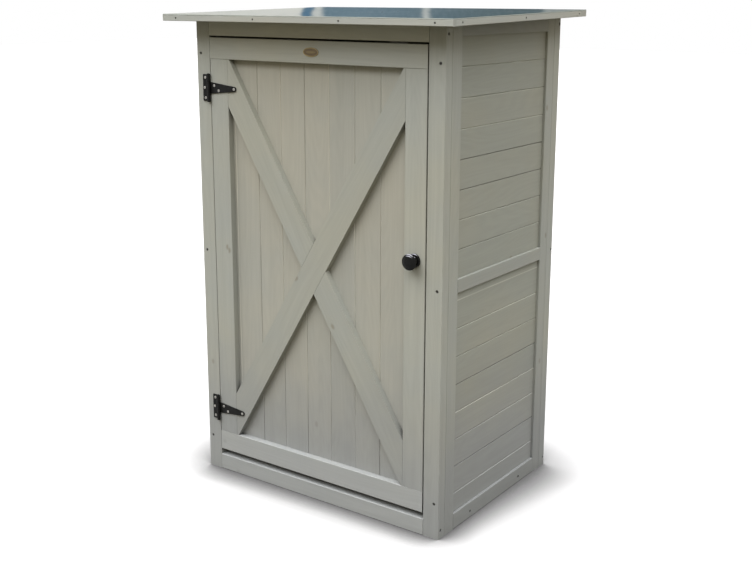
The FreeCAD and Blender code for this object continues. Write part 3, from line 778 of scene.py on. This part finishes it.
for where, z in hinge_heights.items():
    notch = strap_half + knuckle_gap
    far, near = hinge_x - leaf_reach, hinge_x - knuckle_r - metal_edge
    outline = (arc((far + leaf_corner, z - leaf_half + leaf_corner), leaf_corner, 180, 270, 5)
               + [(hinge_x, z - leaf_half), (hinge_x, z - notch), (near, z - notch), (near, z + notch),
                  (hinge_x, z + notch), (hinge_x, z + leaf_half)]
               + arc((far + leaf_corner, z + leaf_half - leaf_corner), leaf_corner, 90, 180, 5))
    bm = bmesh.new()
    prism(bm, outline, plate_back, plate_front, metal_edge, upright)
    knuckle(bm, -1, z + notch, z + barrel_half)
    knuckle(bm, -1, z - barrel_half, z - notch)
    show("hinge_" + where + "_leaf_plate", "cabinet", "hinge_black", hinge_black, bm,
         "hinge_" + where + "_leaf")

    end = hinge_x + strap_length - strap_tip
    root, straight = hinge_x + strap_root, hinge_x + strap_straight
    lean = math.degrees(math.atan2(strap_half - strap_tip, end - straight))
    outline = ([(root, z + strap_half), (root, z - strap_half), (straight, z - strap_half)]
               + arc((end, z), strap_tip, lean - 90, 90 - lean, 18) + [(straight, z + strap_half)])
    bm = bmesh.new()
    prism(bm, outline, plate_back, plate_front, metal_edge, upright)
    knuckle(bm, 1, z - strap_half, z + strap_half)
    show("hinge_" + where + "_strap_plate", "door", "hinge_black", hinge_black, bm,
         "hinge_" + where + "_strap")

bm = bmesh.new()
for z in hinge_heights.values():
    pin_end = [(pin_r, barrel_half - pin_shown), (pin_r, barrel_half), (pin_head_r, barrel_half),
               (pin_head_r, barrel_half + 0.4 * pin_head), (0.8 * pin_head_r, barrel_half + 0.8 * pin_head),
               (0, barrel_half + pin_head)]
    profile = [(radius, -height) for radius, height in reversed(pin_end)] + pin_end
    turn(bm, profile, Matrix.Translation((hinge_x, hinge_y, z)), steps=24)
show("hinge_pin_pair", "cabinet", "hinge_black", hinge_black, bm, "hinge_pins")

bright_zinc = zinc("bright_zinc", linear(196, 194, 186), linear(146, 144, 138))
pan_head = 0.0015
pan_shank = 0.0018
for node, body in (("hinge_leaf_screws", "cabinet"), ("hinge_strap_screws", "door")):
    screws(node + "_crossed", body, bright_zinc, node, pan_head, pan_shank)


# Knob: turned metal in glossy black lacquer, on a round rose of the same finish. One screw holds both from
# inside the door.
rose_profile = ((0, 0), (0.0145, 0), (0.0145, 0.0024), (0.0142, 0.0032), (0.0134, 0.0038), (0.0128, 0.004),
                (0.0095, 0.004), (0, 0.004))
knob_profile = ((0, 0.004), (0.009, 0.004), (0.0088, 0.0046), (0.0077, 0.0064), (0.0071, 0.0084),
                (0.007, 0.01), (0.0075, 0.0122), (0.0089, 0.0141), (0.0113, 0.0154), (0.0146, 0.0165),
                (0.0163, 0.0176), (0.0169, 0.019), (0.017, 0.0198), (0.0168, 0.0208), (0.0161, 0.0218),
                (0.0152, 0.0223), (0.0139, 0.0224), (0.0136, 0.0228), (0.011, 0.0238), (0.0074, 0.0245),
                (0.0035, 0.0249), (0, 0.025))
knob_screw_head = 0.0025
knob_screw_shank = 0.002


def onto_door(node):
    """The place on the door's face at the middle of a node, with the Z axis towards the front."""
    low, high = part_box(node)
    return Matrix.Translation(((low.x + high.x) / 2, -plate_back, (low.z + high.z) / 2)) @ upright


# The knob's lacquer carries a painted highlight.
lacquer = black_metal("black_lacquer", roughness=0.16, wear=0.0, highlight_amount=1.0)
for name, node, profile in (("knob_turned", "knob", knob_profile),
                            ("knob_rose_plate", "knob_rose", rose_profile)):
    bm = bmesh.new()
    turn(bm, profile, onto_door("knob"), steps=72)
    show(name, "door", "knob_black", lacquer, bm, node)
screws("knob_screw_crossed", "door", bright_zinc, "knob_screw", knob_screw_head, knob_screw_shank)


# Badge: a blank pressed oval of dull brass with a raised rim and a fine ring inside it, on the middle of
# the door's top rail.
badge_profile = ((0.00975, 0), (0.00975, 0.0009), (0.0094, 0.00135), (0.0088, 0.0015), (0.0082, 0.00135),
                 (0.0078, 0.001), (0.0072, 0.0009), (0.0066, 0.001), (0.0062, 0.00108), (0.0058, 0.001),
                 (0.0052, 0.0009), (0.003, 0.00102), (0.001, 0.0011), (0.0001, 0.00112))
badge_brown = (linear(66, 52, 40), linear(104, 88, 60))
badge_rim_brass = linear(146, 130, 88)
badge_rim_from = (0.0009, 0.0014)
badge_metallic = 0.6
badge_roughness = 0.42
badge_unevenness = 0.3
tarnish_marks = (140, 3.0, 0.6)
hammer_fineness = 900.0
hammer_height = 0.03
# How far and how deep the painted shade in the badge's recesses goes.
badge_recess_reach = 0.0012
badge_recess_light = 0.5

badge_metal, place = begin("badge_brass")
tarnish = noise(place, *tarnish_marks)
hammered = Signal.node("ShaderNodeTexVoronoi", {}, {"Vector": place, "Scale": hammer_fineness})
# Painted shade in the recesses.
open_air = occlusion(badge_recess_reach)
raised = ease(-1 * part_of(place, 1) - plate_back, *badge_rim_from)
hue = blend(raised, blend(tarnish, *badge_brown), badge_rim_brass)
surface(Base_Color=stretch(hue, badge_recess_light + open_air * (1 - badge_recess_light)),
        Metallic=badge_metallic, Roughness=badge_roughness + (tarnish - 0.5) * badge_unevenness,
        Normal=bump((tarnish + hammered) * hammer_height))
low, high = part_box("door_badge")
longer = (high.x - low.x - high.z + low.z) / 2
bm = bmesh.new()
oval = turn(bm, badge_profile, onto_door("door_badge"), steps=72, widen=longer)
bm.faces.new(reversed(oval[0]))
bm.faces.new(oval[-1])
show("badge_oval", "door", "badge", badge_metal, bm, "door_badge")


# Catch: a block of pale moulded plastic with a magnet in it, screwed behind the header, and a zinc-plated
# steel strike screwed to the back of the door.
plastic_tones = (linear(186, 182, 170), linear(198, 194, 184))
plastic_roughness = (0.45, 0.65)
mottle_fineness = 300
mottle_height = 0.02
# How far and how deep the painted shade in the catch's creases goes.
catch_shade_reach = 0.006
catch_shaded_light = 0.75
strike_corner = 0.002
strike_edge = 0.0004

catch_plastic, place = begin("catch_plastic")
mottle = noise(place, mottle_fineness)
# Painted shade in the creases.
unshaded = occlusion(catch_shade_reach)
surface(Base_Color=stretch(blend(mottle, *plastic_tones), catch_shaded_light + unshaded * (1 - catch_shaded_light)),
        Roughness=plastic_roughness[0] + mottle * (plastic_roughness[1] - plastic_roughness[0]),
        Normal=bump(mottle * mottle_height))
dress(catch_plastic, "catch_body")
low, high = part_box("catch_strike")
left, right = low.x + strike_corner, high.x - strike_corner
lower, upper = low.z + strike_corner, high.z - strike_corner
corners = (((right, upper), 0), ((left, upper), 90), ((left, lower), 180), ((right, lower), 270))
outline = [point for centre, start in corners for point in arc(centre, strike_corner, start, start + 90, 5)]
bm = bmesh.new()
prism(bm, outline, -high.y, -low.y, strike_edge, upright)
show("strike_plate", "door", "zinc", bright_zinc, bm, "catch_strike")
for node, body in (("catch_screws", "cabinet"), ("strike_screw", "door")):
    screws(node + "_crossed", body, bright_zinc, node, pan_head, pan_shank)


# Studio: an even overhead light as under a large white canopy, a softer one from the front left, and a
# white floor that runs out of sight. Light that comes up from the floor is weak and a little warm. The
# floor carries a painted shadow at the cabinet's foot, which reaches further behind the cabinet, away
# from the light.
floor_size = 40.0
floor_colour = (0.56, 0.55, 0.54, 1.0)
floor_colour_mirrored = (0.36, 0.355, 0.35, 1.0)
floor_colour_in_bounces = (0.07, 0.06, 0.038, 1.0)
floor_glow = 0.16
floor_roughness = 0.9
contact_reach = 0.075
contact_reach_behind = 0.075
contact_depth = 2.3
behind_way = (-0.4, 0.9, 0)
behind_from = (-0.3, 0.1)
canopy_colour = (3.15, 3.2, 3.34, 1.0)
horizon_colour = (0.31, 0.285, 0.205, 1.0)
canopy_edge = (0.36, 0.84)
sun_strength = 1.06
sun_softness = 45
sun_from = Vector((-0.38, -1.0, 1.3))
white = (1, 1, 1, 1)
black = (0, 0, 0, 1)


def ray(kind):
    return Signal.node("ShaderNodeLightPath", {}, {}, "Is " + kind + " Ray")


def in_view():
    """1 for what the camera sees, also in metal and through glass, and 0 for light that bounces."""
    return ray("Camera").math("MAXIMUM", ray("Glossy")).math("MAXIMUM", ray("Transmission"))


edge = floor_size / 2
floor_mesh = bpy.data.meshes.new("floor")
floor_mesh.from_pydata([(-edge, -edge, 0), (edge, -edge, 0), (edge, edge, 0), (-edge, edge, 0)], [],
                       [(0, 1, 2, 3)])
studio_floor = bpy.data.objects.new("floor", floor_mesh)
bpy.context.scene.collection.objects.link(studio_floor)
floor_material, place = begin("studio_floor")
seen = in_view()
behind = ease(dot(place, behind_way), *behind_from)
# A painted shadow on the floor, darker near the cabinet and reaching further behind it.
near = occlusion(contact_reach + behind * contact_reach_behind).math("POWER", contact_depth)
bare_floor = blend(ray("Camera"), floor_colour_mirrored, floor_colour)
surface(Base_Color=blend(seen, floor_colour_in_bounces, stretch(bare_floor, near)),
        Roughness=floor_roughness, Specular_IOR_Level=0.0,
        Emission_Color=blend(seen, black, stretch(white[:3], near)), Emission_Strength=floor_glow)
floor_mesh.materials.append(floor_material)

world = bpy.data.worlds.new("studio")
world.use_nodes = True
world.node_tree.nodes.clear()
Signal.tree = world.node_tree
height = part_of(Signal.node("ShaderNodeTexCoord", {}, {}, "Generated"), 2)
canopy = blend(ease(height, *canopy_edge), horizon_colour, canopy_colour)
light, backdrop = (Signal.node("ShaderNodeBackground", {}, {"Color": colour}) for colour in (canopy, white))
sky = Signal.node("ShaderNodeMixShader", {}, {0: in_view(), 1: light, 2: backdrop})
Signal.node("ShaderNodeOutputWorld", {}, {"Surface": sky}, None)
bpy.context.scene.world = world

sun_data = bpy.data.lights.new("sun", "SUN")
sun_data.energy = sun_strength
sun_data.angle = math.radians(sun_softness)
sun = bpy.data.objects.new("sun", sun_data)
sun.rotation_euler = sun_from.to_track_quat("Z", "Y").to_euler()
bpy.context.scene.collection.objects.link(sun)

bpy.context.scene.view_settings.view_transform = "Standard"
